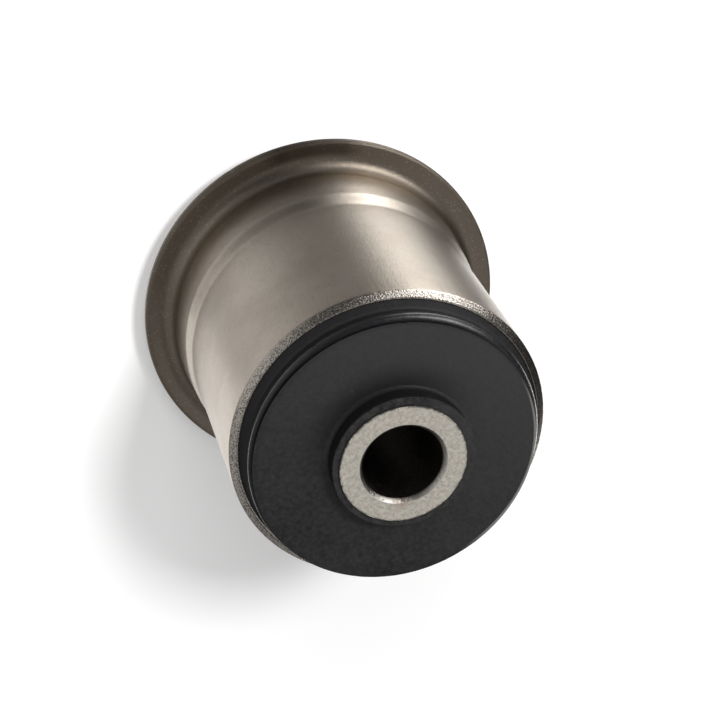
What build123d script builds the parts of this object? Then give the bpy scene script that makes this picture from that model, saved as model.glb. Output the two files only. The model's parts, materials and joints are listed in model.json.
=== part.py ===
from build123d import *

import math
import os

# Rubber metal bush: a flanged steel shell, a bonded rubber body and a thick
# steel tube, all turned about the Z axis. The bush stands on the plain end of
# its tube with the flange low and the moulded rubber disc at the top.
# All sizes are in millimetres.

# ---------------------------------------------------------------- tube
TUBE_LENGTH = 60.0
TUBE_DIAMETER = 20.0
BOLT_BORE_DIAMETER = 12.5
COUNTERSINK_WIDTH = 0.55       # radial, at both ends of the bore
COUNTERSINK_DEPTH = 0.95
TUBE_EDGE_BREAK = 0.15

# ---------------------------------------------------------------- shell
PRESS_DIAMETER = 50.0          # the part of the shell that is pressed home
SEAT_STEP = 0.65               # the shell is this much larger by the flange
FLANGE_DIAMETER = 61.8
SHEET_THICKNESS = 1.8
FLANGE_BACK_HEIGHT = 4.4       # clear of the surface the tube stands on
NECK_RADIUS = 2.7              # inside the corner of sleeve and flange
SEAT_STEP_HEIGHT = 18.0
SEAT_STEP_RUN = 2.4            # length over which the seat swells out
RIM_HEIGHT = 51.3              # the sheared end of the shell
RIM_CHAMFER = 0.35
FLANGE_EDGE_RADIUS = 0.6

# ---------------------------------------------------------------- rubber
COLLAR_WIDTH = 1.15            # rubber ring that hugs the tube
COLLAR_SETBACK = 0.38          # its top stands this far below the tube end
LEDGE_WIDTH = 0.17             # flash line at the foot of the collar
LEDGE_HEIGHT = 57.0
DISC_HEIGHT = 56.6
DISC_DIAMETER = 45.0
DISC_EDGE_RADIUS = 0.35
DISC_FOOT_RADIUS = 0.5
GROOVE_DEPTH = 0.5             # in from the edge of the disc
GROOVE_TOP_HEIGHT = 55.7
GROOVE_FOOT_HEIGHT = 55.0
BEAD_HEIGHT = 54.1             # centre of the round bead below the groove
BEAD_RADIUS = 0.62
BEAD_STANDOUT = 0.1            # past the edge of the disc
LIP_TOP_HEIGHT = 52.9
LIP_INSET = 0.3                # inside the bore of the shell

REAR_COLLAR_HEIGHT = 1.2
REAR_WEB_HEIGHT = 6.4
REAR_WEB_DIAMETER = 29.0
REAR_DISH_HEIGHT = 11.0
REAR_DISH_DIAMETER = 36.0
REAR_LIP_HEIGHT = 9.6          # above the bend of the flange

# ---------------------------------------------------------------- derived
TUBE_R = TUBE_DIAMETER / 2
BORE_R = BOLT_BORE_DIAMETER / 2
PRESS_R = PRESS_DIAMETER / 2
SEAT_R = PRESS_R + SEAT_STEP
SHELL_BORE_R = PRESS_R - SHEET_THICKNESS
SEAT_BORE_R = SEAT_R - SHEET_THICKNESS
FLANGE_R = FLANGE_DIAMETER / 2
FLANGE_FRONT_HEIGHT = FLANGE_BACK_HEIGHT + SHEET_THICKNESS
BACK_BEND_RADIUS = NECK_RADIUS + SHEET_THICKNESS
COLLAR_R = TUBE_R + COLLAR_WIDTH
LEDGE_R = COLLAR_R + LEDGE_WIDTH
DISC_R = DISC_DIAMETER / 2
GROOVE_R = DISC_R - GROOVE_DEPTH
BEAD_R = DISC_R + BEAD_STANDOUT
LIP_R = SHELL_BORE_R - LIP_INSET
WEB_R = REAR_WEB_DIAMETER / 2
DISH_R = REAR_DISH_DIAMETER / 2


def turned(outline):
    """Turn a closed outline, drawn in the XZ plane, once about Z."""
    face = make_face(outline)
    return revolve(face, Axis.Z, 360)


def polar(centre, radius, degrees):
    """A point on a circle, given as (radius, height) pairs."""
    angle = math.radians(degrees)
    return (
        centre[0] + radius * math.cos(angle),
        centre[1] + radius * math.sin(angle),
    )


def at(point):
    """Lift a (radius, height) pair into the XZ plane."""
    return Vector(point[0], 0, point[1])


def straight(*points):
    """A chain of straight lines through the points."""
    return [
        Line(at(first), at(second))
        for first, second in zip(points, points[1:])
    ]


def bend(centre, radius, start, middle, end):
    """An arc round a centre, from one angle to another."""
    return ThreePointArc(
        at(polar(centre, radius, start)),
        at(polar(centre, radius, middle)),
        at(polar(centre, radius, end)),
    )


def inner_sleeve():
    """Thick tube, countersunk at both ends of its bolt bore."""
    mouth_r = BORE_R + COUNTERSINK_WIDTH
    top = TUBE_LENGTH
    outline = straight(
        (mouth_r, 0),
        (TUBE_R - TUBE_EDGE_BREAK, 0),
        (TUBE_R, TUBE_EDGE_BREAK),
        (TUBE_R, top - TUBE_EDGE_BREAK),
        (TUBE_R - TUBE_EDGE_BREAK, top),
        (mouth_r, top),
        (BORE_R, top - COUNTERSINK_DEPTH),
        (BORE_R, COUNTERSINK_DEPTH),
        (mouth_r, 0),
    )
    return turned(outline)


def seat_curve(inner_r, outer_r):
    """Soft swelling of the shell from its press size to its seat size."""
    foot = SEAT_STEP_HEIGHT - SEAT_STEP_RUN
    return Spline(
        at((inner_r, SEAT_STEP_HEIGHT)),
        at((outer_r, foot)),
        tangents=[Vector(1, 0, -1), Vector(0, 0, -1)],
    )


def outer_sleeve():
    """Sheet shell: rim, press diameter, seat, neck and flange."""
    seat_foot = SEAT_STEP_HEIGHT - SEAT_STEP_RUN
    neck = (SEAT_R + NECK_RADIUS, FLANGE_FRONT_HEIGHT + NECK_RADIUS)
    edge = FLANGE_R - FLANGE_EDGE_RADIUS
    edge_top = FLANGE_FRONT_HEIGHT - FLANGE_EDGE_RADIUS
    edge_foot = FLANGE_BACK_HEIGHT + FLANGE_EDGE_RADIUS
    rim_chamfer_foot = RIM_HEIGHT - RIM_CHAMFER
    outline = []
    outline += straight(
        (SHELL_BORE_R, RIM_HEIGHT),
        (PRESS_R - RIM_CHAMFER, RIM_HEIGHT),
        (PRESS_R, rim_chamfer_foot),
        (PRESS_R, SEAT_STEP_HEIGHT),
    )
    outline.append(seat_curve(PRESS_R, SEAT_R))
    outline += straight(
        (SEAT_R, seat_foot),
        (SEAT_R, neck[1]),
    )
    outline.append(bend(neck, NECK_RADIUS, 180, 225, 270))
    outline += straight(
        (neck[0], FLANGE_FRONT_HEIGHT),
        (edge, FLANGE_FRONT_HEIGHT),
    )
    outline.append(bend((edge, edge_top), FLANGE_EDGE_RADIUS, 90, 45, 0))
    outline += straight(
        (FLANGE_R, edge_top),
        (FLANGE_R, edge_foot),
    )
    outline.append(bend((edge, edge_foot), FLANGE_EDGE_RADIUS, 0, -45, -90))
    outline += straight(
        (edge, FLANGE_BACK_HEIGHT),
        (neck[0], FLANGE_BACK_HEIGHT),
    )
    outline.append(bend(neck, BACK_BEND_RADIUS, 270, 225, 180))
    outline += straight(
        (SEAT_BORE_R, neck[1]),
        (SEAT_BORE_R, seat_foot),
        (SHELL_BORE_R, SEAT_STEP_HEIGHT),
        (SHELL_BORE_R, RIM_HEIGHT),
    )
    return turned(outline)


def rubber_body():
    """One moulding that fills the space between tube and shell."""
    seat_foot = SEAT_STEP_HEIGHT - SEAT_STEP_RUN
    collar_top = TUBE_LENGTH - COLLAR_SETBACK
    foot_top = DISC_HEIGHT + DISC_FOOT_RADIUS
    edge_centre = (DISC_R - DISC_EDGE_RADIUS, DISC_HEIGHT - DISC_EDGE_RADIUS)
    bead_centre = (BEAD_R - BEAD_RADIUS, BEAD_HEIGHT)
    outline = []
    outline += straight(
        (TUBE_R, REAR_COLLAR_HEIGHT),
        (TUBE_R, collar_top),
        (COLLAR_R, collar_top),
        (COLLAR_R, LEDGE_HEIGHT),
        (LEDGE_R, LEDGE_HEIGHT),
        (LEDGE_R + DISC_FOOT_RADIUS, DISC_HEIGHT),
        (edge_centre[0], DISC_HEIGHT),
    )
    outline.append(bend(edge_centre, DISC_EDGE_RADIUS, 90, 45, 0))
    outline += straight(
        (DISC_R, edge_centre[1]),
        (GROOVE_R, GROOVE_TOP_HEIGHT),
        (GROOVE_R, GROOVE_FOOT_HEIGHT),
        polar(bead_centre, BEAD_RADIUS, 75),
    )
    outline.append(bend(bead_centre, BEAD_RADIUS, 75, 0, -75))
    outline += straight(
        polar(bead_centre, BEAD_RADIUS, -75),
        (LIP_R, LIP_TOP_HEIGHT),
        (SHELL_BORE_R, RIM_HEIGHT),
        (SHELL_BORE_R, SEAT_STEP_HEIGHT),
        (SEAT_BORE_R, seat_foot),
        (SEAT_BORE_R, REAR_LIP_HEIGHT),
        (DISH_R, REAR_DISH_HEIGHT),
        (WEB_R, REAR_WEB_HEIGHT),
        (COLLAR_R, REAR_WEB_HEIGHT),
        (COLLAR_R, REAR_COLLAR_HEIGHT),
        (TUBE_R, REAR_COLLAR_HEIGHT),
    )
    return turned(outline)


os.makedirs("parts", exist_ok=True)
export_step(outer_sleeve(), "parts/outer_sleeve.step")
export_step(rubber_body(), "parts/rubber_body.step")
export_step(inner_sleeve(), "parts/inner_sleeve.step")
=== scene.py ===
# %% [markdown]
# # A rubber metal bush
# A thick steel tube stands in the middle of a rubber moulding, and a thin
# steel shell with a flange holds the rubber from outside. Everything on it is
# turned about one upright axis, so one lathe, built from Geometry Nodes,
# makes all three pieces. What the lathe can't give, such as the torn rim, the
# ragged flash and the dents, is pushed into the mesh afterwards by small
# node groups that each do one kind of damage.

# %% Load the frame
import json
import math

import bmesh
import bpy
from mathutils import Matrix, Vector


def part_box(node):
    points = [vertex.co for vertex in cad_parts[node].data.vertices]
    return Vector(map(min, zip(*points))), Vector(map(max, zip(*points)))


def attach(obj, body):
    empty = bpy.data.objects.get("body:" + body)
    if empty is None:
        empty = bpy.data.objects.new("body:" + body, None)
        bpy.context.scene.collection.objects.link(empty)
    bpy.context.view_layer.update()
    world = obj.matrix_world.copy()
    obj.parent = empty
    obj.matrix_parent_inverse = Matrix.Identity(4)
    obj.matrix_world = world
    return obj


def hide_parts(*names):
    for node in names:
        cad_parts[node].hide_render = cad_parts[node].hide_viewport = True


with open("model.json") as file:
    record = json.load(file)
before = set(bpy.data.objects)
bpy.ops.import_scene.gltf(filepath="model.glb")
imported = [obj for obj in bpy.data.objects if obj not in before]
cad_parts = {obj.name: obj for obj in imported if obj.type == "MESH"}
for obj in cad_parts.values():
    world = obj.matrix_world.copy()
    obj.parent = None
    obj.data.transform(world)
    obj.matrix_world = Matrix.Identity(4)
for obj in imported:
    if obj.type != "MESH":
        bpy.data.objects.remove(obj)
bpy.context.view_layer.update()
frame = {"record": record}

# %% [markdown]
# ## Sizes
# The frame gives the fitted sizes: the bolt bore, the press diameter and the
# seat by the flange are mounts of the record, and the boxes of the nodes give
# the lengths. The sizes of the small forms are written here once. All are in
# millimetres, because a maker thinks of a bush in millimetres, and they are
# multiplied by MM only where Blender takes them.

# %% Sizes from the frame
MM = 0.001
mounts = {mount["name"]: mount for mount in frame["record"]["mounts"]}
bore_r = mounts["bolt_bore"]["dims"]["r_mm"]
press_r = mounts["press_shell"]["dims"]["r_mm"]
seat_r = mounts["seat_shell"]["dims"]["r_mm"]
tube_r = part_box("inner_sleeve")[1][0] / MM
tube_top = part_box("inner_sleeve")[1][2] / MM
flange_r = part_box("outer_sleeve")[1][0] / MM
flange_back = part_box("outer_sleeve")[0][2] / MM
rim_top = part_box("outer_sleeve")[1][2] / MM
collar_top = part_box("rubber_body")[1][2] / MM
collar_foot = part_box("rubber_body")[0][2] / MM
above_all = tube_top + 0.5      # higher than any surface
print("tube", round(tube_r, 3), round(tube_top, 3), "flange", round(flange_r, 3))
print("rim", round(rim_top, 3), "collar", round(collar_foot, 3), round(collar_top, 3))

# %% Sizes of the shell
sheet = 1.8             # thickness of the shell
neck_bend = 2.5         # radius in the corner by the flange
neck_lean = 4           # the draft of the seat, in degrees
neck_spread = 0.45      # how much wider the seat is where that corner begins
flange_edge = 0.6       # radius of the flange's edge
seat_start = 19.3       # height at which the shell begins to swell
seat_run = 3.9          # height that the swell takes
rim_crest = 23.75       # radius at which the torn rim is highest
crest_rise = 0.45       # from the clean cut to the centre of the crest's bend
crest_bend = 0.3
rim_round = 0.1         # radius of the rim's outer edge
shell_bore_r = press_r - sheet
seat_bore_r = seat_r - sheet
flange_front = flange_back + sheet
print("shell bore", shell_bore_r, "flange front", round(flange_front, 3))

# %% Sizes of the tube
edge_break = 0.15       # the flat on the tube's outer edges
sink_r = bore_r + 0.60  # the countersink, where it meets the end face
sink = 0.68             # its depth
print("countersink", sink_r, "by", sink)

# %% Sizes of the rubber
collar_r = 11.15
ledge_r = 11.32         # the flash line at the collar's foot
ledge_height = 57.0
ledge_bend = 0.42
disc_height = 56.6
disc_r = 22.5
disc_edge = 22.2        # the disc's edge is trimmed back a little
bead_height = 55.03
bead_bend = 0.8
bead_out = 0.28         # how far the bead stands out past disc_r
lip_height = 53.3       # where the wall under the bead ends
gutter = 52.8           # the lowest line between the wall and the rim
web_height = 6.4        # the flat at the rear
web_r = 14.5
dish = (18.0, 11.0)     # the deepest ring of the rear dish
rear_edge = 9.6         # where the dish meets the shell
print("disc", disc_r, "collar", collar_r, "gutter", gutter)

# %% [markdown]
# ## Outlines
# Each piece is drawn as half of its cross-section: a closed chain of points,
# each a radius and a height. A curve drawn by hand would do as well, but then
# the sheet's thickness couldn't be changed in one place. Points lie close
# together where the surface will be roughened and far apart where it is
# plain, so that the mesh spends its faces where the eye does.

# %% Drawing helpers
def straight(start, end, steps):
    """Points from start up to, but not at, end."""
    return [
        tuple(a + (b - a) * i / steps for a, b in zip(start, end))
        for i in range(steps)
    ]


def bend(centre, radius, start, end, steps):
    """Points of an arc, both ends included, with its angles in degrees."""
    points = []
    for i in range(steps + 1):
        angle = math.radians(start + (end - start) * i / steps)
        points.append((
            centre[0] + radius * math.cos(angle),
            centre[1] + radius * math.sin(angle),
        ))
    return points


def swell(start, end, steps):
    """A step with a soft start and a soft end."""
    points = []
    for i in range(steps):
        t = i / steps
        rise = t * t * (3 - 2 * t)
        points.append((
            start[0] + (end[0] - start[0]) * rise,
            start[1] + (end[1] - start[1]) * t,
        ))
    return points


def chain(*corners):
    """Straight lines from corner to corner, each (radius, height, steps)."""
    points = []
    for (r, z, steps), (next_r, next_z, _) in zip(corners, corners[1:]):
        points += straight((r, z), (next_r, next_z), steps)
    return points


print("a quarter bend in four steps has", len(bend((0, 0), 1, 0, 90, 4)), "points")

# %% Outline of the shell
neck = (seat_r + neck_spread + neck_bend, flange_front + neck_bend)
neck_start = bend(neck, neck_bend, 180 - neck_lean, 270, 1)[0]
lip = flange_r - flange_edge
seat_foot = seat_start - seat_run
crest = (rim_crest, rim_top + crest_rise)
shell_outline = (
    chain(
        (shell_bore_r, rim_top, 3),
        (shell_bore_r + 0.2, rim_top + crest_rise, 0),
    )
    + bend(crest, crest_bend, 150, 50, 4)
    + chain(
        (rim_crest + 0.25, rim_top + 0.72, 13),
        (press_r - 0.05, rim_top + 0.05, 0),
    )
    + bend((press_r - rim_round, rim_top - 0.05), rim_round, 50, 0, 3)
    + chain(
        (press_r, rim_top - 0.3, 5),
        (press_r, seat_start + 0.3, 1),
        (press_r, seat_start, 0),
    )
    + swell((press_r, seat_start), (seat_r, seat_foot), 12)
    + straight((seat_r, seat_foot), neck_start, 4)
    + bend(neck, neck_bend, 180 - neck_lean, 270, 14)
    + straight((neck[0] + 0.3, flange_front), (lip, flange_front), 5)
    + bend((lip, flange_front - flange_edge), flange_edge, 90, 0, 6)
    + bend((lip, flange_back + flange_edge), flange_edge, 0, -90, 6)
    + straight((lip - 0.3, flange_back), (neck[0] + 0.3, flange_back), 3)
    + bend(neck, neck_bend + sheet, 270, 180, 8)
    + chain(
        (seat_bore_r, neck[1] + 0.3, 2),
        (seat_bore_r, seat_foot, 2),
        (shell_bore_r, seat_start, 5),
        (shell_bore_r, rim_top, 0),
    )
)
print("shell outline", len(shell_outline), "points")

# %% Outline of the tube
tube_outline = chain(
    (sink_r, tube_top, 20),
    (tube_r - edge_break, tube_top, 2),
    (tube_r, tube_top - edge_break, 8),
    (tube_r, edge_break, 2),
    (tube_r - edge_break, 0.0, 8),
    (sink_r, 0.0, 3),
    (bore_r, sink, 12),
    (bore_r, tube_top - sink, 6),
    (sink_r, tube_top, 0),
)
print("tube outline", len(tube_outline), "points")

# %% Outline of the rubber
bead = (disc_r + bead_out - bead_bend, bead_height)
rubber_outline = (
    chain(
        (tube_r, collar_top, 8),
        (collar_r - 0.08, collar_top, 2),
        (collar_r, collar_top - 0.12, 12),
        (collar_r, ledge_height, 2),
        (ledge_r, ledge_height, 0),
    )
    + bend((ledge_r + 0.45, disc_height + ledge_bend), ledge_bend, 190, 270, 6)
    + chain(
        (ledge_r + 0.6, disc_height, 22),
        (disc_edge, disc_height, 5),
        (disc_edge - 0.35, disc_height - 0.6, 0),
    )
    + bend(bead, bead_bend, 110, -5, 14)
    + chain(
        (bead[0] + bead_bend, bead[1] - 0.1, 6),
        (disc_r + 0.05, lip_height, 3),
        (shell_bore_r - 0.25, gutter, 6),
        (shell_bore_r + 0.36, rim_top + 0.66, 2),
        (shell_bore_r - 0.05, rim_top + 0.1, 0),
    )
    + chain(
        (shell_bore_r, rim_top, 5),
        (shell_bore_r, seat_start, 2),
        (seat_bore_r, seat_foot, 2),
        (seat_bore_r, rear_edge, 4),
        (*dish, 4),
        (web_r, web_height, 3),
        (collar_r, web_height, 4),
        (collar_r, collar_foot, 2),
        (tube_r, collar_foot, 8),
        (tube_r, collar_top, 0),
    )
)
print("rubber outline", len(rubber_outline), "points")

# %% [markdown]
# ## Node helpers
# Every tree below is wired by the same four small functions, so that the
# cells that use them read as a list of steps. Trees could be drawn with the
# mouse too, but a script can be read, repeated and changed.

# %% Node helpers
def plug(tree, made, values):
    """Fill a node's sockets with plain values or with other nodes' outputs."""
    for name, value in values.items():
        socket = made.inputs[name]
        if isinstance(value, bpy.types.NodeSocket):
            tree.links.new(value, socket)
        else:
            socket.default_value = value
    return made


def add(tree, kind, values=None, **settings):
    """Add a node, choose its settings, then fill its sockets."""
    made = tree.nodes.new(kind)
    for name, value in settings.items():
        setattr(made, name, value)
    return plug(tree, made, values or {})


def calc(tree, operation, *values):
    """One step of arithmetic."""
    made = add(tree, "ShaderNodeMath", dict(enumerate(values)), operation=operation)
    return made.outputs[0]


def group(name, kind, inputs, outputs):
    """A new node group with named inputs and outputs, and its two end nodes."""
    tree = bpy.data.node_groups.new(name, kind)
    for label, (socket, value) in inputs.items():
        made = tree.interface.new_socket(label, in_out="INPUT", socket_type=socket)
        if value is not None:
            made.default_value = value
    for label, socket in outputs.items():
        tree.interface.new_socket(label, in_out="OUTPUT", socket_type=socket)
    start = tree.nodes.new("NodeGroupInput")
    end = tree.nodes.new("NodeGroupOutput")
    return tree, start.outputs, end


FLOAT, VECTOR = "NodeSocketFloat", "NodeSocketVector"
MESH, WHOLE = "NodeSocketGeometry", "NodeSocketInt"
print("kinds of socket", FLOAT, VECTOR, MESH, WHOLE)

# %% [markdown]
# ## The lathe
# A lathe turns an outline once about the axis. The Screw modifier would do
# it too, but in a node tree the damage can follow in the same chain. There,
# the outline becomes a curve, and Curve to Mesh drags it round a circle. The
# circle can have any radius, as long as the outline is drawn from that circle
# and not from the axis, so ten millimetres is used for all three pieces.

# %% The lathe
turning_r = 10.0
lathe, got, end = group(
    "Lathe", "GeometryNodeTree",
    {"Outline": (MESH, None), "Steps": (WHOLE, 360)},
    {"Mesh": MESH},
)
round_path = add(
    lathe, "GeometryNodeCurvePrimitiveCircle",
    {"Resolution": got["Steps"], "Radius": turning_r * MM},
)
outline_curve = add(lathe, "GeometryNodeMeshToCurve", {"Mesh": got["Outline"]})
turned = add(
    lathe, "GeometryNodeCurveToMesh",
    {"Curve": round_path.outputs["Curve"], "Profile Curve": outline_curve.outputs["Curve"]},
)
plug(lathe, end, {"Mesh": turned.outputs["Mesh"]})
print("group", lathe.name)

# %% [markdown]
# ## Damage and roughness
# Sculpting could tear an edge, but a group of nodes does it the same way each
# time and leaves its depth open to change. *Roughen* works in a ring-shaped
# zone between two radii and two heights, and follows a noise whose grain can
# be stretched upright or squashed into rings. *Mark* raises a nib or sinks a
# dent round one point. Both push points along their normals. *Shift* moves
# all that lies in a zone a little sideways, because a mould never closes
# quite true.

# %% Zone of a ring
def inside(tree, value, low, high, soft):
    """1 between low and high, fading to 0 over the soft distance."""
    masks = []
    for edge, way in ((low, 1), (high, -1)):
        signed = calc(tree, "SUBTRACT", value, edge)
        steep = calc(tree, "DIVIDE", signed, soft)
        masks.append(calc(tree, "MULTIPLY_ADD", steep, way * 0.5, 0.5))
    lowest = calc(tree, "MINIMUM", *masks)
    bounded = add(
        tree, "ShaderNodeMapRange", {"Value": lowest}, interpolation_type="SMOOTHSTEP",
    )
    return bounded.outputs["Result"]


def radius_and_height(tree, point):
    """The distance from the axis, and the height, of a point."""
    parts = add(tree, "ShaderNodeSeparateXYZ", {"Vector": point})
    across = calc(tree, "POWER", parts.outputs["X"], 2.0)
    along = calc(tree, "POWER", parts.outputs["Y"], 2.0)
    return calc(tree, "SQRT", calc(tree, "ADD", across, along)), parts.outputs["Z"]


def ring_zone(tree, point, got):
    """Mask of the ring between a group's four limits."""
    radius, height = radius_and_height(tree, point)
    by_radius = inside(tree, radius, got["Inner"], got["Outer"], got["Soft"])
    by_height = inside(tree, height, got["Low"], got["High"], got["Soft"])
    return calc(tree, "MULTIPLY", by_radius, by_height)


RING_SOCKETS = {
    "Inner": (FLOAT, 0.0), "Outer": (FLOAT, 0.05),
    "Low": (FLOAT, -0.01), "High": (FLOAT, 0.07), "Soft": (FLOAT, 0.0002),
}
print("a ring has", list(RING_SOCKETS))


# %% Move points
def place_of_point(tree):
    """Where the point is that a group is working on."""
    return add(tree, "GeometryNodeInputPosition").outputs["Position"]


def scaled(tree, vector, scale):
    """A vector times a number."""
    made = add(tree, "ShaderNodeVectorMath", {0: vector, "Scale": scale}, operation="SCALE")
    return made.outputs[0]


def move_by(tree, mesh, end, offset):
    """End a group by moving each point by an offset."""
    made = add(tree, "GeometryNodeSetPosition", {"Geometry": mesh, "Offset": offset})
    plug(tree, end, {"Mesh": made.outputs["Geometry"]})


def push_out(tree, mesh, end, distance):
    """End a group by moving each point along its normal."""
    outward = add(tree, "GeometryNodeInputNormal").outputs["Normal"]
    move_by(tree, mesh, end, scaled(tree, outward, distance))


# %% Roughen a zone
roughen, got, end = group(
    "Roughen", "GeometryNodeTree",
    {"Mesh": (MESH, None), **RING_SOCKETS, "Depth": (FLOAT, 0.0001),
     "Grain": (FLOAT, 2000.0), "Stretch": (VECTOR, (1.0, 1.0, 1.0)),
     "Lift": (FLOAT, 0.5), "Seed": (FLOAT, 0.0)},
    {"Mesh": MESH},
)
place = place_of_point(roughen)
stretched = add(
    roughen, "ShaderNodeVectorMath", {0: place, 1: got["Stretch"]}, operation="MULTIPLY",
)
grain = add(
    roughen, "ShaderNodeTexNoise",
    {"Vector": stretched.outputs[0], "W": got["Seed"], "Scale": got["Grain"],
     "Detail": 3.0, "Roughness": 0.6},
    noise_dimensions="4D",
)
swing = calc(roughen, "SUBTRACT", grain.outputs[0], got["Lift"])
depth = calc(roughen, "MULTIPLY", calc(roughen, "MULTIPLY", swing, 2.0), got["Depth"])
masked = calc(roughen, "MULTIPLY", depth, ring_zone(roughen, place, got))
push_out(roughen, got["Mesh"], end, masked)

# %% Mark a point
mark, got, end = group(
    "Mark", "GeometryNodeTree",
    {"Mesh": (MESH, None), "Centre": (VECTOR, (0.0, 0.0, 0.0)),
     "Reach": (FLOAT, 0.0005), "Height": (FLOAT, 0.0001)},
    {"Mesh": MESH},
)
gap = add(
    mark, "ShaderNodeVectorMath", {0: place_of_point(mark), 1: got["Centre"]},
    operation="DISTANCE",
)
near = calc(mark, "SUBTRACT", 1.0, calc(mark, "DIVIDE", gap.outputs["Value"], got["Reach"]))
soft = add(mark, "ShaderNodeMapRange", {"Value": near}, interpolation_type="SMOOTHSTEP")
push_out(mark, got["Mesh"], end, calc(mark, "MULTIPLY", soft.outputs["Result"], got["Height"]))

# %% Shift what lies in a zone
shift, got, end = group(
    "Shift", "GeometryNodeTree",
    {"Mesh": (MESH, None), **RING_SOCKETS, "Move": (VECTOR, (0.0, 0.0, 0.0))},
    {"Mesh": MESH},
)
zone = ring_zone(shift, place_of_point(shift), got)
move_by(shift, got["Mesh"], end, scaled(shift, got["Move"], zone))
print("groups", roughen.name, mark.name, shift.name)

# %% [markdown]
# ## Places and steps of damage
# A place on the bush is easiest to give by its angle, radius and height, and
# a zone by the four limits of a ring. The functions below turn these into the
# metres that Blender wants, and each of the last three makes one step of
# damage for the chain of a piece.

# %% Places and steps
def at(angle, radius, height):
    """A point from its angle in degrees, and its radius and height in mm."""
    turn_by = math.radians(angle)
    return Vector((radius * math.cos(turn_by), radius * math.sin(turn_by), height)) * MM


def limits(inner, outer, low, high, soft):
    """The limits of a ring, given in mm."""
    names = ("Inner", "Outer", "Low", "High", "Soft")
    return {name: size * MM for name, size in zip(names, (inner, outer, low, high, soft))}


def rough(zone, depth, grain, seed, lift=0.5, stretch=(1.0, 1.0, 1.0)):
    """Roughen a zone: depth in mm, grain in bumps per metre."""
    return roughen, {
        **limits(*zone), "Depth": depth * MM, "Grain": grain, "Seed": seed,
        "Lift": lift, "Stretch": stretch,
    }


def dent(angle, radius, height, reach, rise):
    """Sink or raise one place: how far it reaches and rises, in mm."""
    return mark, {"Centre": at(angle, radius, height), "Reach": reach * MM, "Height": rise * MM}


def moved(zone, x, y):
    """Shift a zone sideways, in mm."""
    return shift, {**limits(*zone), "Move": (x * MM, y * MM, 0.0)}


print("the flange's near edge is at", [round(c, 4) for c in at(-90, flange_r, flange_front)])

# %% [markdown]
# ## Turning a piece
# A piece starts as its bare outline, a closed loop of edges. Its own tree
# turns it on the lathe, runs it through a chain of damage and gives it its
# material. The tree is then applied, so what is kept is an ordinary mesh that
# can be shaded smooth between its sharp edges.

# %% A piece's blank and its plan
def blank_from(name, outline):
    """An outline in mm as a loop of edges, drawn from the lathe's circle."""
    drawn = bpy.data.meshes.new(name + "_outline")
    points = [((r - turning_r) * MM, -z * MM, 0.0) for r, z in outline]
    edges = [(i, (i + 1) % len(outline)) for i in range(len(outline))]
    drawn.from_pydata(points, edges, [])
    blank = bpy.data.objects.new(name + "_blank", drawn)
    bpy.context.scene.collection.objects.link(blank)
    return blank


def plan_of(name, damage, material):
    """The tree of a piece: the lathe, its steps of damage, its material."""
    tree, got, end = group(
        name, "GeometryNodeTree",
        {"Geometry": (MESH, None), "Steps": (WHOLE, 120)}, {"Geometry": MESH},
    )
    work = add(
        tree, "GeometryNodeGroup", {"Outline": got["Geometry"], "Steps": got["Steps"]},
        node_tree=lathe,
    )
    for kind, values in damage:
        values = {"Mesh": work.outputs["Mesh"], **values}
        work = add(tree, "GeometryNodeGroup", values, node_tree=kind)
    whole = add(tree, "GeometryNodeRealizeInstances", {"Geometry": work.outputs["Mesh"]})
    finish = add(
        tree, "GeometryNodeSetMaterial",
        {"Geometry": whole.outputs["Geometry"], "Material": material},
    )
    plug(tree, end, {"Geometry": finish.outputs["Geometry"]})
    return tree


# %% Turn a piece
same_place = 1e-7       # metres within which two points are one
sharp_from = 35         # degrees at which an edge stays sharp


def turn(name, outline, steps, damage, material):
    """Make one turned piece from its outline in mm and its steps of damage."""
    blank = blank_from(name, outline)
    lathe_work = blank.modifiers.new("Turned", "NODES")
    lathe_work.node_group = plan_of(name, damage, material)
    # a modifier's input is set by its identifier, which its name only labels
    for item in lathe_work.node_group.interface.items_tree:
        if item.name == "Steps":
            lathe_work[item.identifier] = steps
    graph = bpy.context.evaluated_depsgraph_get()
    mesh = bpy.data.meshes.new_from_object(blank.evaluated_get(graph), depsgraph=graph)
    bpy.data.objects.remove(blank)
    return tidy(name, mesh)


def tidy(name, mesh):
    """Merge doubles, face everything outwards, and keep real edges sharp."""
    shape = bmesh.new()
    shape.from_mesh(mesh)
    bmesh.ops.remove_doubles(shape, verts=shape.verts, dist=same_place)
    if shape.calc_volume(signed=True) < 0:
        bmesh.ops.reverse_faces(shape, faces=shape.faces)
    open_edges = sum(not edge.is_manifold for edge in shape.edges)
    volume = shape.calc_volume()
    shape.to_mesh(mesh)
    shape.free()
    mesh.name = name
    mesh.shade_smooth()
    mesh.set_sharp_from_angle(angle=math.radians(sharp_from))
    piece = bpy.data.objects.new(name, mesh)
    bpy.context.scene.collection.objects.link(piece)
    print(name, len(mesh.polygons), "faces,", open_edges, "open edges,",
          round(volume / MM ** 3), "mm3")
    return piece


# %% [markdown]
# ## Shading helpers
# Painted pictures could carry the finishes, but they need unwrapping and blur
# close up. These patterns are worked out at each point, in the piece's own
# coordinates, so they need neither. The finishes share a few effects, and each
# of these is a node group that is built once. They give only masks and
# heights, and each material decides what to do with them.

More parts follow.
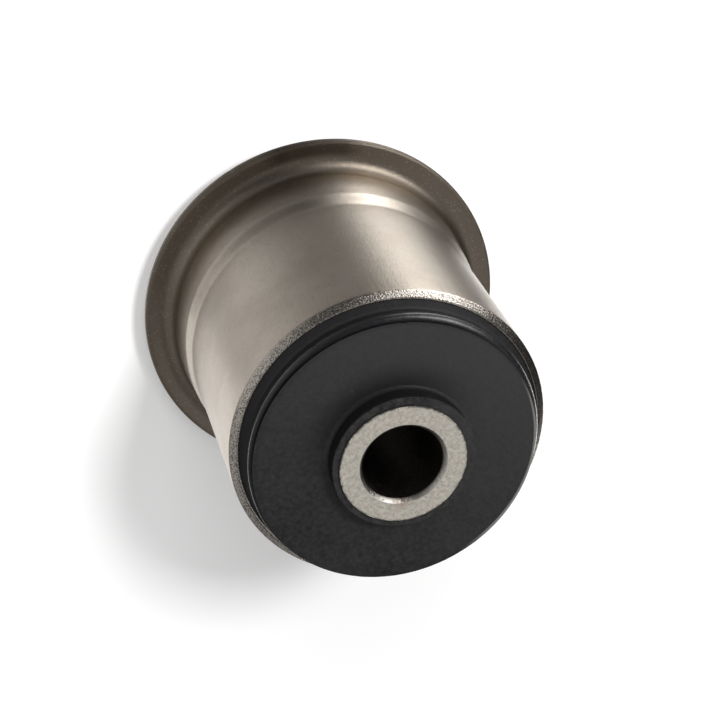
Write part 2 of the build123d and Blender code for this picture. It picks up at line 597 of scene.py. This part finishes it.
# %% Speckle group
speckle, got, end = group(
    "Speckle", "ShaderNodeTree",
    {"Place": (VECTOR, None), "Scale": (FLOAT, 1000.0), "Size": (FLOAT, 0.3),
     "Share": (FLOAT, 0.1)},
    {"Mask": FLOAT},
)
cells = add(speckle, "ShaderNodeTexVoronoi", {"Vector": got["Place"], "Scale": got["Scale"]})
luck = add(speckle, "ShaderNodeSeparateColor", {"Color": cells.outputs["Color"]})
chosen = calc(speckle, "LESS_THAN", luck.outputs[0], got["Share"])
spot = add(
    speckle, "ShaderNodeMapRange",
    {"Value": cells.outputs["Distance"], "From Min": got["Size"],
     "From Max": calc(speckle, "MULTIPLY", got["Size"], 0.4)},
    interpolation_type="SMOOTHSTEP",
)
plug(speckle, end, {"Mask": calc(speckle, "MULTIPLY", spot.outputs["Result"], chosen)})

# %% Blotch group
blotch, got, end = group(
    "Blotch", "ShaderNodeTree",
    {"Place": (VECTOR, None), "Scale": (FLOAT, 100.0), "Low": (FLOAT, 0.4),
     "High": (FLOAT, 0.6), "Seed": (FLOAT, 0.0)},
    {"Mask": FLOAT},
)
cloud = add(
    blotch, "ShaderNodeTexNoise",
    {"Vector": got["Place"], "W": got["Seed"], "Scale": got["Scale"],
     "Detail": 5.0, "Roughness": 0.6},
    noise_dimensions="4D",
)
cut = add(
    blotch, "ShaderNodeMapRange",
    {"Value": cloud.outputs[0], "From Min": got["Low"], "From Max": got["High"]},
    interpolation_type="SMOOTHSTEP",
)
plug(blotch, end, {"Mask": cut.outputs["Result"]})

# %% Ring mask group
ring_mask, got, end = group(
    "Ring mask", "ShaderNodeTree",
    {"Place": (VECTOR, None), **RING_SOCKETS}, {"Mask": FLOAT},
)
plug(ring_mask, end, {"Mask": ring_zone(ring_mask, got["Place"], got)})

# %% Turning marks group
turning, got, end = group(
    "Turning marks", "ShaderNodeTree",
    {"Place": (VECTOR, None), "Scale": (FLOAT, 3000.0)}, {"Height": FLOAT},
)
radius, height = radius_and_height(turning, got["Place"])
rings = add(turning, "ShaderNodeCombineXYZ", {"X": radius, "Y": 0.0, "Z": height})
groove = add(
    turning, "ShaderNodeTexNoise",
    {"Vector": rings.outputs[0], "Scale": got["Scale"], "Detail": 2.0},
)
plug(turning, end, {"Height": groove.outputs[0]})
print("shading groups", speckle.name, blotch.name, ring_mask.name, turning.name)

# %% [markdown]
# ## A material under way
# Each finish is built up as a painter would: a base, then layer after layer,
# each laid on through a mask. The class below keeps the tree, the shader and
# the shaded point together, so that a layer is one short line.


# %% Material helper
class Finish:
    """A material under way: its tree, its shader and the point being shaded."""

    def __init__(self, name):
        self.material = bpy.data.materials.new(name)
        self.material.use_nodes = True
        self.tree = self.material.node_tree
        self.shader = self.tree.nodes["Principled BSDF"]
        self.place = self.node("ShaderNodeTexCoord").outputs["Object"]

    def node(self, kind, values=None, **settings):
        return add(self.tree, kind, values, **settings)

    def calc(self, operation, *values):
        return calc(self.tree, operation, *values)

    def mask(self, kind, **values):
        """The output of one of the mask groups."""
        named = {name.capitalize(): value for name, value in values.items()}
        made = self.node("ShaderNodeGroup", {"Place": self.place, **named}, node_tree=kind)
        return made.outputs[0]

    def ring(self, *sizes):
        """Mask of a ring: inner, outer, low, high and soft, in mm."""
        values = {"Place": self.place, **limits(*sizes)}
        return self.node("ShaderNodeGroup", values, node_tree=ring_mask).outputs[0]

    def towards(self, angle):
        """How far the point lies from the axis towards an angle, in metres."""
        direction = at(angle, 1 / MM, 0)
        made = self.node(
            "ShaderNodeVectorMath", {0: self.place, 1: direction}, operation="DOT_PRODUCT",
        )
        return made.outputs["Value"]

    def side(self, angle, start, soft):
        """Mask of what lies more than start mm towards an angle."""
        everything = 2 * flange_r
        return inside(self.tree, self.towards(angle), start * MM, everything * MM, soft * MM)

    def near(self, centre, outer, inner, fade="SMOOTHSTEP"):
        """Mask of what lies near a point: 0 past outer, 1 within inner, in mm."""
        gap = self.node("ShaderNodeVectorMath", {0: self.place, 1: centre}, operation="DISTANCE")
        values = {"Value": gap.outputs["Value"], "From Min": outer * MM, "From Max": inner * MM}
        return self.node("ShaderNodeMapRange", values, interpolation_type=fade).outputs["Result"]

    def noise(self, scale, detail=3.0, roughness=0.5):
        """A plain noise over the piece."""
        values = {"Vector": self.place, "Scale": scale, "Detail": detail, "Roughness": roughness}
        return self.node("ShaderNodeTexNoise", values).outputs[0]

    def mix(self, share, first, second, most=1.0):
        """Lay one colour over another by a mask, at the most by the given share."""
        share = share if most == 1.0 else self.calc("MULTIPLY", share, most)
        made = self.node("ShaderNodeMix", data_type="RGBA")
        plug(self.tree, made, {0: share, 6: four_parts(first), 7: four_parts(second)})
        return made.outputs[2]

    def blend(self, share, first, second):
        """Blend two plain values by a share."""
        made = self.node("ShaderNodeMix", {0: share, 2: first, 3: second}, data_type="FLOAT")
        return made.outputs[0]

    def bump(self, height, depth, below=None):
        """Bend the normal by a height; depth in mm."""
        values = {"Height": height, "Distance": depth * MM}
        if below:
            values["Normal"] = below
        return self.node("ShaderNodeBump", values).outputs["Normal"]

    def wear(self, **values):
        """Set the shader's own sockets and give back the material."""
        plug(self.tree, self.shader, {
            name.replace("_", " ").title().replace("Ior", "IOR"): value
            for name, value in values.items()
        })
        return self.material


def four_parts(colour):
    """Three numbers become the four that a colour socket wants."""
    return (*colour, 1.0) if isinstance(colour, tuple) else colour


# %% [markdown]
# ## Finish of the shell
# The shell is deep-drawn sheet steel, tumbled after drawing, so its surface
# is a satin with a fine grain and a warm oily tarnish. The tarnish is thickest
# where fingers and tumbling stones don't reach: in the corner by the flange
# and on the flange's face, which is also darker in one patch. The cut rim
# is raw, bright and torn, and on one side rubber has smeared over it. All of
# it is one metal, so it could be plain noise in the colour, but tarnish and
# tears have their places on the part. So each layer has a mask of its own.

# %% Where the shell's layers lie
steel = Finish("satin_steel")
tarnish = steel.mask(blotch, scale=70.0, low=0.35, high=0.7, seed=2.0)
cloudy = steel.mask(blotch, scale=420.0, low=0.3, high=0.75, seed=5.0)
pores = steel.mask(speckle, scale=2600.0, size=0.42, share=0.16)
bright_grains = steel.mask(speckle, scale=3400.0, size=0.45, share=0.12)
rim_break = steel.mask(blotch, scale=4400.0, low=0.38, high=0.58, seed=8.0)
flange_low, flange_high = flange_back - 1, flange_front + 2.4
flange_zone = steel.ring(seat_r + 0.4, flange_r + 1, flange_low, flange_high, 1.2)
flat_zone = steel.ring(neck[0] - 0.1, flange_r + 1, flange_low, flange_high, 0.8)
edge_zone = steel.ring(lip - 0.1, flange_r + 1, flange_low, flange_front + 1, 0.3)
rim_zone = steel.ring(0, press_r + 1, rim_top + 0.08, rim_top + 2, 0.12)
# the flange's face is painted darker in one patch round this place
dark_patch_place = at(-111, 29.8, flange_front)
flange_dark_patch = steel.calc("MULTIPLY", steel.near(dark_patch_place, 10, 5), flat_zone)
rim_smear = steel.calc("MULTIPLY", rim_zone, steel.side(174, 19.4, 6))
print("oil stain at", [round(c, 4) for c in dark_patch_place])

# %% Colour of the shell
satin, tarnished, clouded = (0.665, 0.588, 0.502), (0.475, 0.402, 0.318), (0.50, 0.44, 0.37)
flange_brown, dark_patch_colour = (0.20, 0.163, 0.127), (0.055, 0.043, 0.033)
pore_dark, grain_bright = (0.24, 0.20, 0.16), (0.85, 0.78, 0.69)
torn_dark, torn_bright = (0.24, 0.205, 0.175), (0.84, 0.78, 0.71)
smeared = (0.045, 0.042, 0.039)

colour = steel.mix(tarnish, satin, tarnished, most=0.45)
colour = steel.mix(cloudy, colour, clouded, most=0.34)
colour = steel.mix(flange_zone, colour, flange_brown, most=0.8)
colour = steel.mix(pores, colour, pore_dark, most=0.35)
colour = steel.mix(bright_grains, colour, grain_bright, most=0.45)
colour = steel.mix(rim_zone, colour, steel.mix(rim_break, torn_dark, torn_bright))
colour = steel.mix(rim_smear, colour, smeared, most=0.8)
colour = steel.mix(flange_dark_patch, colour, dark_patch_colour, most=0.65)

# %% Gloss and relief of the shell
gloss = steel.blend(tarnish, 0.28, 0.33)
gloss = steel.blend(flange_zone, gloss, 0.37)
gloss = steel.blend(edge_zone, gloss, 0.5)
gloss = steel.blend(rim_zone, gloss, 0.18)

grain = steel.noise(3200.0)
peel = steel.noise(700.0, detail=2.0)
torn = steel.noise(4600.0, roughness=0.7)
relief = steel.bump(peel, 0.015)
relief = steel.bump(steel.calc("MULTIPLY_ADD", pores, -0.3, grain), 0.030, relief)
relief = steel.bump(steel.calc("MULTIPLY", torn, rim_zone), 0.05, relief)
shell_steel = steel.wear(
    base_color=colour, metallic=1.0, roughness=gloss, normal=relief,
)
print("finish", shell_steel.name, len(steel.tree.nodes), "nodes")

# %% [markdown]
# ## Finish of the rubber
# Moulded black rubber takes the surface of its mould: the disc is eroded matt
# with a little bloom and dust, while the wall was drawn past polished steel
# and kept its gloss, with fine scratches running round. The bead is the
# glossiest, so it gets a clear coat. The collar is a torn flash, greyer and
# grainy. One grey with one gloss would look like plastic, so every zone of
# the mould has its own tone. Light is painted into the colour too: the rubber
# is lighter towards the side where more light falls, painted shade darkens the
# disc round the collar's foot on the near side, and a painted highlight runs
# along the disc's edge on one side.

# %% Where the rubber's layers lie
rubber = Finish("black_rubber")
bloom = rubber.mask(blotch, scale=190.0, low=0.35, high=0.75, seed=3.0)
matt = rubber.mask(blotch, scale=1400.0, low=0.3, high=0.7, seed=4.0)
dust = rubber.mask(speckle, scale=1100.0, size=0.2, share=0.03)
flash_grain = rubber.mask(blotch, scale=1300.0, low=0.35, high=0.65, seed=6.0)
wall_foot = gutter + 0.3
wall_in = disc_r - 0.9
wall_zone = rubber.ring(wall_in, seat_r, wall_foot, disc_height - 0.1, 0.3)
bead_zone = rubber.ring(wall_in, seat_r, bead_height - 0.2, bead_height + 0.6, 0.25)
lip_zone = rubber.ring(disc_r - 0.5, seat_r, rim_top - 1.3, wall_foot, 0.3)
edge_ring = rubber.ring(disc_edge - 0.56, disc_r + 0.3, disc_height - 0.2, tube_top, 0.12)
# painted highlight: a pale line along the disc's edge on one side
painted_edge_highlight = rubber.calc("MULTIPLY", edge_ring, rubber.side(140, 17.4, 2.5))
collar_zone = rubber.ring(0, collar_r + 0.3, collar_top - 0.3, above_all, 0.15)
stem_zone = rubber.ring(0, collar_r + 0.6, ledge_height + 0.1, collar_top - 0.2, 0.2)
round_collar = rubber.ring(0, 14.0, ledge_height - 1.0, tube_top, 2.6)
# painted shade: the disc is darker round the collar's foot on the near side
painted_collar_shade = rubber.calc("MULTIPLY", round_collar, rubber.side(-95, 6.5, 6))
flash = rubber.calc("MULTIPLY", collar_zone, flash_grain)
# painted light: the rubber is painted lighter towards -143 degrees, where more light falls, and
# darker on the far side
painted_side_light_ramp = rubber.node(
    "ShaderNodeMapRange",
    {"Value": rubber.towards(-143), "From Min": -20 * MM, "From Max": 22 * MM},
)
painted_side_light = painted_side_light_ramp.outputs["Result"]

# %% Colour of the rubber
shade_side_black, lit_side_black = (0.0020, 0.0020, 0.0022), (0.0270, 0.0270, 0.0276)
bloom_grey, matt_grey = (0.0240, 0.0240, 0.0245), (0.032, 0.032, 0.033)
wall_black, stem_black = (0.0045, 0.0045, 0.0055), (0.0045, 0.0045, 0.005)
lip_black, painted_shade_black = (0.008, 0.008, 0.009), (0.0015, 0.0015, 0.0015)
painted_highlight_grey, dust_grey = (0.16, 0.153, 0.146), (0.11, 0.11, 0.11)
flash_grey = (0.030, 0.029, 0.028)

# the base colour is painted light: paler on the lit side, blacker on the shaded side
colour = rubber.mix(painted_side_light, shade_side_black, lit_side_black)
colour = rubber.mix(bloom, colour, bloom_grey, most=0.4)
colour = rubber.mix(matt, colour, matt_grey, most=0.5)
# lay on the painted shade round the collar
colour = rubber.mix(painted_collar_shade, colour, painted_shade_black)
colour = rubber.mix(wall_zone, colour, wall_black)
colour = rubber.mix(stem_zone, colour, stem_black)
colour = rubber.mix(lip_zone, colour, lip_black)
# lay on the painted highlight along the disc's edge
colour = rubber.mix(painted_edge_highlight, colour, painted_highlight_grey)
colour = rubber.mix(dust, colour, dust_grey, most=0.35)
colour = rubber.mix(flash, colour, flash_grey)

# %% Gloss and relief of the rubber
gloss = rubber.blend(bloom, 0.52, 0.60)
gloss = rubber.blend(wall_zone, gloss, 0.58)
gloss = rubber.blend(bead_zone, gloss, 0.25)
gloss = rubber.blend(lip_zone, gloss, 0.62)
gloss = rubber.blend(collar_zone, gloss, 0.8)

scratches = rubber.mask(turning, scale=4200.0)
scored = rubber.calc("MAXIMUM", wall_zone, lip_zone)
relief = rubber.bump(rubber.noise(2600.0), 0.075)
relief = rubber.bump(rubber.calc("MULTIPLY", scratches, scored), 0.06, relief)
black_rubber = rubber.wear(
    base_color=colour, roughness=gloss, normal=relief, metallic=0.0, ior=1.5,
    coat_weight=bead_zone, coat_roughness=0.25, coat_ior=1.65,
)
print("finish", black_rubber.name, len(rubber.tree.nodes), "nodes")

# %% [markdown]
# ## Finish of the tube
# The tube is cut from thick-walled steel. Its end face is sawn and blasted,
# so it is pale grey and full of pits, and its countersink is bright from the
# tool. Rubber has smeared over its outer edge, and a little rust sits in the
# countersink. A blasted face scatters light more like stone than like a
# mirror, so the face is only partly metallic.

# %% Where the tube's layers lie
tube = Finish("sawn_steel")
pits = tube.mask(speckle, scale=3300.0, size=0.45, share=0.34)
shallow = tube.mask(blotch, scale=1500.0, low=0.35, high=0.65, seed=7.0)
stain = tube.mask(blotch, scale=260.0, low=0.4, high=0.7, seed=9.0)
smear_noise = tube.mask(blotch, scale=1050.0, low=0.42, high=0.52, seed=11.0)
tube_out, over_top = tube_r + 1, tube_top + 1
smear_zone = tube.ring(tube_r - 0.28, tube_out, tube_top - 10, over_top, 0.25)
edge_zone = tube.ring(tube_r - 0.12, tube_out, tube_top - 10, over_top, 0.06)
sink_zone = tube.ring(bore_r - 0.05, sink_r + 0.05, tube_top - sink, over_top, 0.12)
face_zone = tube.ring(sink_r, tube_out, tube_top - 0.3, over_top, 0.2)
# the bore is painted dark: partly its oxide, partly painted shade deep inside it
bore_zone = tube.ring(-1.0, bore_r + 0.25, -1.0, tube_top - sink * 0.6, 0.3)
rust_near = tube.near(at(63, sink_r - 0.35, tube_top - 0.4), 1.6, 0.4, fade="LINEAR")
rust = tube.calc("MULTIPLY", rust_near, shallow)
smear = tube.calc("MAXIMUM", tube.calc("MULTIPLY", smear_zone, smear_noise), edge_zone)

# %% Colour of the tube
face_dark, face_pale = (0.420, 0.390, 0.338), (0.575, 0.540, 0.474)
stained, pitted = (0.46, 0.42, 0.37), (0.20, 0.185, 0.17)
cut_bright, rusty = (0.80, 0.77, 0.72), (0.30, 0.17, 0.10)
bore_oxide_and_shade, smear_black = (0.10, 0.085, 0.075), (0.012, 0.012, 0.012)

colour = tube.mix(shallow, face_dark, face_pale)
colour = tube.mix(stain, colour, stained, most=0.3)
colour = tube.mix(pits, colour, pitted, most=0.45)
colour = tube.mix(sink_zone, colour, cut_bright, most=0.6)
colour = tube.mix(rust, colour, rusty)
colour = tube.mix(bore_zone, colour, bore_oxide_and_shade)
colour = tube.mix(smear, colour, smear_black)

# %% Gloss and relief of the tube
gloss = tube.blend(shallow, 0.52, 0.40)
gloss = tube.blend(sink_zone, gloss, 0.28)
gloss = tube.blend(smear, gloss, 0.6)
metal = tube.blend(face_zone, 1.0, 0.4)
metal = tube.blend(smear, metal, 0.0)

relief = tube.bump(tube.noise(2400.0, detail=4.0, roughness=0.65), 0.10)
relief = tube.bump(tube.calc("SUBTRACT", 1.0, pits), 0.04, relief)
tube_steel = tube.wear(
    base_color=colour, metallic=metal, roughness=gloss, normal=relief,
)
print("finish", tube_steel.name, len(tube.tree.nodes), "nodes")

# %% [markdown]
# ## The shell
# The shell is one deep-drawn cup with its bottom pierced out. The press sizes
# it in two steps, which leaves the soft swell between the long press seat and
# the wider seat by the flange. Its rim was sheared, so its face is torn into
# grains, fine ones on the whole face and coarser ones at the outer edge, and
# the flange has one nick. Bump alone wouldn't show at the rim's outline, so
# the mesh itself is torn.

# %% Turn the shell
rim_face = (shell_bore_r + 0.1, press_r + 0.3, rim_top, rim_top + 1.7, 0.15)
rim_edge = (press_r - 0.4, press_r + 0.3, rim_top - 0.3, rim_top + 0.5, 0.3)
shell = turn(
    "outer_shell", shell_outline, 960,
    [
        rough(rim_face, 0.022, grain=2600.0, seed=1.0, lift=0.6),
        rough(rim_edge, 0.05, grain=900.0, seed=2.0, lift=0.6),
        dent(-84.3, flange_r, flange_back + 1.1, reach=1.1, rise=-0.22),
    ],
    shell_steel,
)
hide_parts("outer_sleeve")
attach(shell, "root")

# %% [markdown]
# ## The rubber
# The rubber is moulded between the shell and the tube and bonded to both. Its
# front is a flat disc, trimmed a little off centre, with an undercut and a
# bead below its edge, where the mould's parts met. A thin collar climbs the
# tube. It is the flash that crept between the mould and the tube, so its edge
# is ragged and it also sits a little off centre. A perfect turned shape would
# miss all this, so the moulding is shifted, roughened and then dented.

# %% Turn the rubber
whole_collar = (tube_r + 0.35, ledge_r + 0.58, disc_height + 0.1, above_all, 0.4)
disc_rim = (disc_edge - 0.7, disc_edge + 0.9, disc_height - 1.4, disc_height + 0.6, 0.5)
collar_lip = (tube_r + 0.1, collar_r + 0.45, collar_top - 0.42, above_all, 0.2)
collar_wall = (tube_r + 0.4, collar_r + 0.45, ledge_height + 0.2, above_all, 0.3)
mould_wall = (disc_edge - 0.4, disc_r + 0.5, gutter - 0.3, disc_height + 0.3, 0.25)
torn_lip = (shell_bore_r - 0.5, shell_bore_r + 0.4, rim_top - 0.3, gutter + 0.1, 0.25)
nib_height = bead_height - 0.43
rubber_piece = turn(
    "rubber_moulding", rubber_outline, 780,
    [
        moved(whole_collar, -0.22, 0.05),
        moved(disc_rim, 0.28, 0.0),
        rough(collar_lip, 0.16, grain=900.0, seed=3.0, lift=0.55),
        rough(collar_wall, 0.12, grain=420.0, seed=4.0),
        rough(mould_wall, 0.05, grain=330.0, seed=5.0, stretch=(1.0, 1.0, 5.0)),
        rough(torn_lip, 0.12, grain=500.0, seed=6.0),
        dent(47.603, 18.687, disc_height, reach=0.55, rise=-0.45),
        dent(-116, disc_edge + 0.1, disc_height - 0.1, reach=0.7, rise=-0.3),
        dent(-81, disc_r, nib_height - 0.3, reach=0.9, rise=-0.25),
        dent(8, disc_r - 0.1, nib_height, reach=0.8, rise=0.3),
        dent(24, disc_r - 0.1, nib_height, reach=0.9, rise=0.25),
    ],
    black_rubber,
)
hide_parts("rubber_body")
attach(rubber_piece, "root")

# %% [markdown]
# ## The tube
# The tube carries the bolt, so it is by far the thickest steel here. Both
# ends are cut square and countersunk to let the bolt in. The front face is
# roughened as a mesh too, because light grazes it and would show it flat.

# %% Turn the tube
end_face = (bore_r + 0.45, tube_r + 0.1, tube_top - 0.1, above_all, 0.1)
face_edge = (tube_r - 0.3, tube_r + 0.3, tube_top - 0.5, above_all, 0.2)
tube_piece = turn(
    "inner_tube", tube_outline, 480,
    [
        rough(end_face, 0.035, grain=1900.0, seed=7.0, lift=0.6),
        rough(face_edge, 0.04, grain=800.0, seed=8.0, lift=0.6),
        dent(63, sink_r - 0.25, tube_top - 0.2, reach=0.8, rise=-0.05),
    ],
    tube_steel,
)
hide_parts("inner_sleeve")
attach(tube_piece, "root")

# %% [markdown]
# ## The floor
# The floor is white card. It is a little brighter to the camera than its
# light alone would make it, so that it melts into the white behind it and
# keeps only the shadow. A real studio does this with a curved sheet and a
# lamp of its own, and here it is a mix of shaders. Mirror-like rays pass
# through the card, because the steel is lit by the studio's own picture below.

# %% Floor sheet
floor_reach = 1.2       # metres from the middle to each side
floor_height = -0.00002  # a hair under the tube's foot, so no planes coincide
card = bpy.data.meshes.new("floor")
corners = ((-1, -1), (1, -1), (1, 1), (-1, 1))
card.from_pydata(
    [(x * floor_reach, y * floor_reach, floor_height) for x, y in corners],
    [], [(0, 1, 2, 3)],
)
floor = bpy.data.objects.new("floor", card)
bpy.context.scene.collection.objects.link(floor)
print("floor", 2 * floor_reach, "m wide")

# %% Floor card
WHITE = (1.0, 1.0, 1.0, 1.0)
card_white = (0.86, 0.86, 0.86, 1.0)
lift_strength = 0.20
fade_start, fade_end = 0.13, 0.30   # metres from the bush
paper = bpy.data.materials.new("white_card")
paper.use_nodes = True
tree = paper.node_tree
tree.nodes.clear()
light_path = add(tree, "ShaderNodeLightPath").outputs
for_camera = calc(tree, "MULTIPLY", light_path["Is Camera Ray"], lift_strength)
matt_white = add(tree, "ShaderNodeBsdfDiffuse", {"Color": card_white})
lift = add(tree, "ShaderNodeEmission", {"Color": WHITE, "Strength": for_camera})
lit = add(tree, "ShaderNodeAddShader", {0: matt_white.outputs[0], 1: lift.outputs[0]})
plain_white = add(tree, "ShaderNodeEmission", {"Color": WHITE, "Strength": 1.0})
where = add(tree, "ShaderNodeTexCoord").outputs["Object"]
away = add(tree, "ShaderNodeVectorMath", {0: where}, operation="LENGTH")
far = add(
    tree, "ShaderNodeMapRange",
    {"Value": away.outputs["Value"], "From Min": fade_start, "From Max": fade_end},
    interpolation_type="SMOOTHSTEP",
)
far_from_camera = calc(tree, "MULTIPLY", far.outputs["Result"], light_path["Is Camera Ray"])
faded_card = add(
    tree, "ShaderNodeMixShader",
    {0: far_from_camera, 1: lit.outputs[0], 2: plain_white.outputs[0]},
)
clear = add(tree, "ShaderNodeBsdfTransparent")
seen = add(
    tree, "ShaderNodeMixShader",
    {0: light_path["Is Glossy Ray"], 1: faded_card.outputs[0], 2: clear.outputs[0]},
)
add(tree, "ShaderNodeOutputMaterial", {"Surface": seen.outputs[0]})
card.materials.append(paper)

# %% [markdown]
# ## The studio
# Steel has hardly any colour of its own and shows what stands round it, so
# the studio is a picture of its own, painted by angles. A ready-made panorama
# would do, but here each light can be placed and named. The picture has its
# own up, ahead and across, because the bush is lit as if it lay on its side:
# a pale table below, dim walls above it, a window ahead on the right, a soft
# box further right, and dark where the camera and the ceiling are.

# %% The studio's directions
up = Vector((-0.4326, -0.8922, -0.1318)).normalized()
ahead = Vector((-0.1672, 0.2227, -0.9605)).normalized()
across = Vector((-0.8863, 0.3935, 0.2455)).normalized()

studio = bpy.data.worlds.new("studio")
bpy.context.scene.world = studio
studio.use_nodes = True
tree = studio.node_tree
tree.nodes.clear()
looking = add(tree, "ShaderNodeTexCoord").outputs["Generated"]


def part_along(direction):
    """How much of the looking direction points along another, from -1 to 1."""
    made = add(
        tree, "ShaderNodeVectorMath", {0: looking, 1: direction}, operation="DOT_PRODUCT",
    )
    return made.outputs["Value"]


degrees = math.degrees(1)
rise = calc(tree, "MULTIPLY", calc(tree, "ARCSINE", part_along(up)), degrees)
turned_by = calc(tree, "ARCTAN2", part_along(across), part_along(ahead))
round_about = calc(tree, "MULTIPLY", turned_by, degrees)
print("up and ahead are", round(math.degrees(up.angle(ahead))), "degrees apart")


# %% A patch of light
def mix_light(share, first, second):
    """Blend two parts of the studio."""
    made = add(tree, "ShaderNodeMix", data_type="RGBA")
    plug(tree, made, {0: share, 6: first, 7: second})
    return made.outputs[2]


def grey(level):
    """A light without colour."""
    return (level, level, level, 1.0)


def patch(light, left, right, low, high, soft, level):
    """Paint a soft-edged patch of light over what is there, its edges in degrees."""
    middle = (left + right) / 2
    reach = (right - left) / 2
    off = calc(tree, "WRAP", calc(tree, "SUBTRACT", round_about, middle), 180.0, -180.0)
    share = calc(
        tree, "MULTIPLY",
        inside(tree, off, -reach, reach, soft), inside(tree, rise, low, high, soft),
    )
    return mix_light(share, light, grey(level))


# %% Paint the studio
patches = [
    # left, right, low, high, soft edge, level
    (-70, 50, -120, -4, 6, 1.00),       # the table ahead
    (-5, 42, -120, -6, 6, 1.9),         # the table's lit side
    (90, 160, -60, -6, 20, 0.45),       # the table beside the camera
    (-62, 0, 10, 46, 16, 0.24),         # the wall ahead
    (-74, -24, -5, 28, 12, 0.60),       # its pale part on the left
    (-178, -140, -22, 16, 10, 0.42),    # what stands behind, left
    (138, 156, -10, 32, 12, 0.42),      # and behind, right
    (30, 135, 30, 66, 16, 0.60),        # the wide soft box on the right
    (97, 133, 25, 52, 8, 4.6),          # the lamp in it
    (48, 92, -24, 18, 12, 0.05),        # the dark under it
    (-120, 0, -120, -45, 10, 0.22),     # the shadow under the bush
    (-155, -95, -55, -20, 8, 0.32),     # the table behind, left
    (-155, -105, -10, 36, 12, 0.5),     # the pale wall behind, left
    (2, 24, 12, 34, 8, 1.15),           # the window's foot
    (6, 38, 30, 62, 8, 1.10),           # the window
    (12, 32, 32, 48, 6, 3.5),           # the lamp in front of it
    (4, 44, -3, 9, 5, 0.10),            # the dark sill under it
    (156, 204, 6, 75, 10, 0.05),        # the camera's dark shape
    (-60, -4, 54, 100, 14, 0.05),       # the dark of the ceiling
]
light = grey(0.17)
for edges_and_level in patches:
    light = patch(light, *edges_and_level)
print("studio of", len(patches), "patches")

# %% [markdown]
# Only the steel's reflections see the picture. Matt surfaces are lit by one
# even grey instead, so that their colours come out as they are written, and
# the camera sees plain white behind the floor.

# %% Hang the studio
rays = add(tree, "ShaderNodeLightPath").outputs
light = mix_light(rays["Is Glossy Ray"], grey(0.42), light)
light = mix_light(rays["Is Camera Ray"], light, WHITE)
backdrop = add(tree, "ShaderNodeBackground", {"Color": light, "Strength": 1.0})
add(tree, "ShaderNodeOutputWorld", {"Surface": backdrop.outputs[0]})

# %% [markdown]
# ## Lamps
# Two soft boxes throw the shadows. Points of light would do it too, but only
# a lamp with a size gives a shadow that is crisp at the bush and softer the
# further it falls. The boxes are hidden from mirror-like rays, so the steel
# doesn't show them a second time.


# %% Hang the lamps
def soft_box(name, azimuth, elevation, distance, size, power):
    """A square lamp looking at the middle of the bush, its angles in degrees."""
    lamp = bpy.data.lights.new(name, "AREA")
    lamp.size = size
    lamp.energy = power
    a, e = math.radians(azimuth), math.radians(elevation)
    way = Vector((math.cos(a) * math.cos(e), math.sin(a) * math.cos(e), math.sin(e)))
    made = bpy.data.objects.new(name, lamp)
    made.location = way * distance + Vector((0, 0, tube_top / 2)) * MM
    made.rotation_mode = "QUATERNION"
    made.rotation_quaternion = way.to_track_quat("Z", "Y")
    made.visible_glossy = False
    bpy.context.scene.collection.objects.link(made)
    print(name, [round(c, 3) for c in made.location])


soft_box("key_lamp", azimuth=226, elevation=55, distance=0.6, size=0.10, power=2.6)
soft_box("fill_lamp", azimuth=256, elevation=44, distance=0.8, size=0.25, power=1.4)

# %% [markdown]
# ## The camera
# The camera looks down at the standing bush with a long lens. It is turned so
# that the bush seems to lie on its side, which is why its own across and back
# are given as directions and not as the usual three angles.

# %% Camera
lens = bpy.data.cameras.new("camera")
lens.sensor_width = 36.0
lens.lens = 91.67
lens.clip_start = 0.01
camera_place = Vector((0.0, -0.15722, 0.28515))
view_across = Vector((-0.8860, 0.3934, 0.2454)).normalized()
view_back = Vector((0.0052, -0.5209, 0.8536)).normalized()
view_up = view_back.cross(view_across).normalized()
turned_to = Matrix((view_up.cross(view_back), view_up, view_back)).transposed()
camera = bpy.data.objects.new("camera", lens)
camera.matrix_world = Matrix.Translation(camera_place) @ turned_to.to_4x4()
bpy.context.scene.collection.objects.link(camera)
bpy.context.scene.camera = camera
bpy.context.scene.view_settings.view_transform = "Standard"
print("camera", round(camera_place.length, 3), "m from the foot of the bush")
